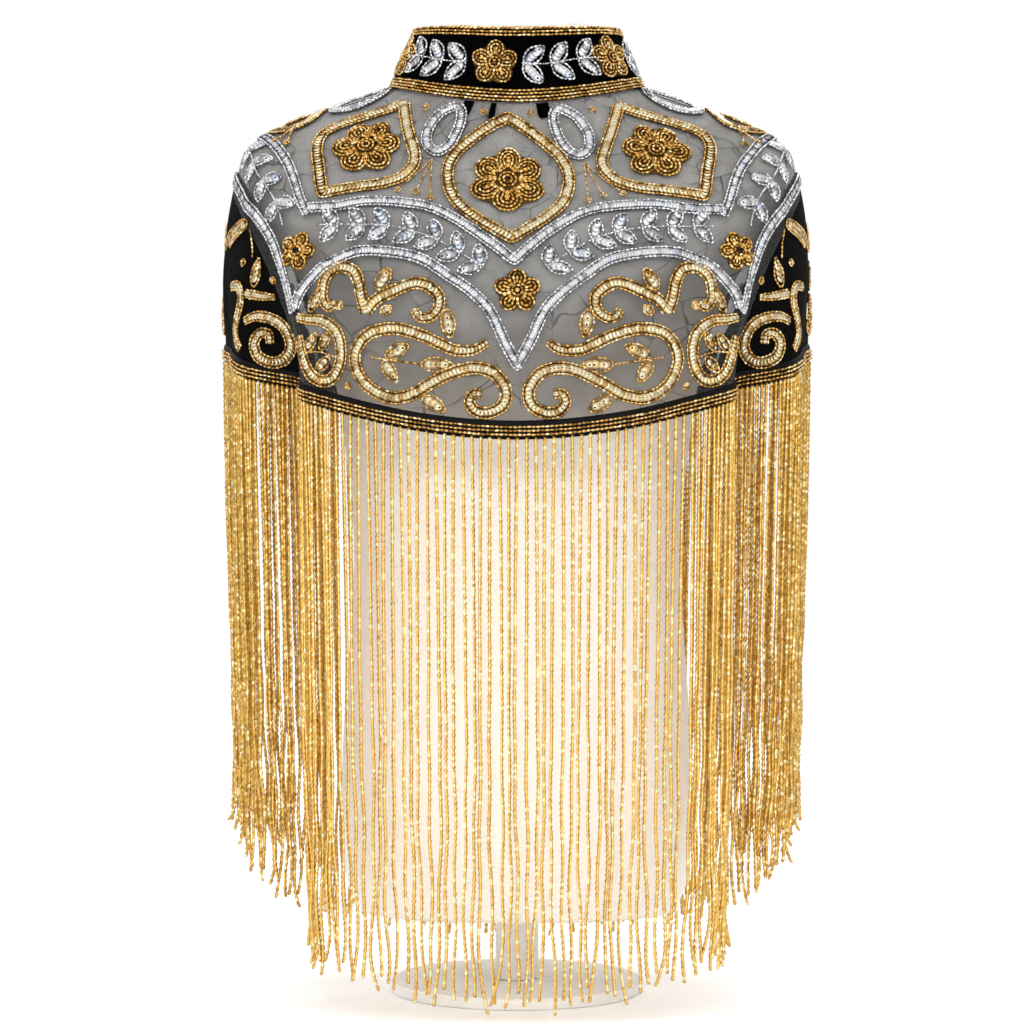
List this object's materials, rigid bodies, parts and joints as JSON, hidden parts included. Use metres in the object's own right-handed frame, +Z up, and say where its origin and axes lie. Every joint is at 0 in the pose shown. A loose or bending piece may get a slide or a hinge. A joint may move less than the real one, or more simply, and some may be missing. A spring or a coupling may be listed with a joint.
{
  "type": "beaded capelet on a limbless dress form",
  "caption": "Sheer beaded capelet with a velvet stand collar and a long bead fringe, worn by a white limbless dress form on a round base.",
  "frame": {"origin": "centre of the round base's underside, on the floor", "axes": "+Z up, -Y the front of the capelet, +X to the right seen from the front"},
  "size_m": [0.411, 0.2423, 0.6882],
  "materials": {
    "net": "sheer black net, beaded",
    "black_net": "doubled black net, matt",
    "velvet": "black velvet",
    "satin": "black satin binding under gold beads",
    "gold_beads": "gold-lined glass seed beads, glossy",
    "gold_sequins": "metallic gold sequins edged with beads",
    "silver_sequins": "metallic silver sequins edged with silver beads",
    "gold_fringe": "twisted strings of gold-lined glass beads",
    "form": "white jersey cover, matt",
    "stand": "white paint, satin"
  },
  "bodies": {
    "root": {"dress_form": "form", "stand_base": "stand", "stand_post": "stand", "front_panel": "net", "back_panel": "net", "right_side_panel": "black_net", "left_side_panel": "black_net", "front_hem": "satin", "back_hem": "satin", "right_side_hem": "satin", "left_side_hem": "satin", "collar": "velvet", "collar_top_beads": "gold_beads", "collar_base_beads": "gold_beads", "collar_button_1": "gold_beads", "collar_button_2": "gold_beads", "front_right_frame": "gold_sequins", "front_right_paisley": "gold_sequins", "front_right_flower": "gold_beads", "front_left_frame": "gold_sequins", "front_left_paisley": "gold_sequins", "front_left_flower": "gold_beads", "back_right_frame": "gold_sequins", "back_right_paisley": "gold_sequins", "back_right_flower": "gold_beads", "back_left_frame": "gold_sequins", "back_left_paisley": "gold_sequins", "back_left_flower": "gold_beads", "front_upper_arch": "silver_sequins", "front_lower_arch": "silver_sequins", "front_small_flower": "gold_beads", "back_upper_arch": "silver_sequins", "back_lower_arch": "silver_sequins", "back_small_flower": "gold_beads", "right_shoulder_inner_line": "silver_sequins", "right_shoulder_outer_line": "silver_sequins", "left_shoulder_inner_line": "silver_sequins", "left_shoulder_outer_line": "silver_sequins", "front_centre_frame": "gold_sequins", "front_centre_flower": "gold_beads", "front_fringe": "gold_fringe", "back_fringe": "gold_fringe", "right_side_fringe": "gold_fringe", "left_side_fringe": "gold_fringe"}
  },
  "joints": []
}
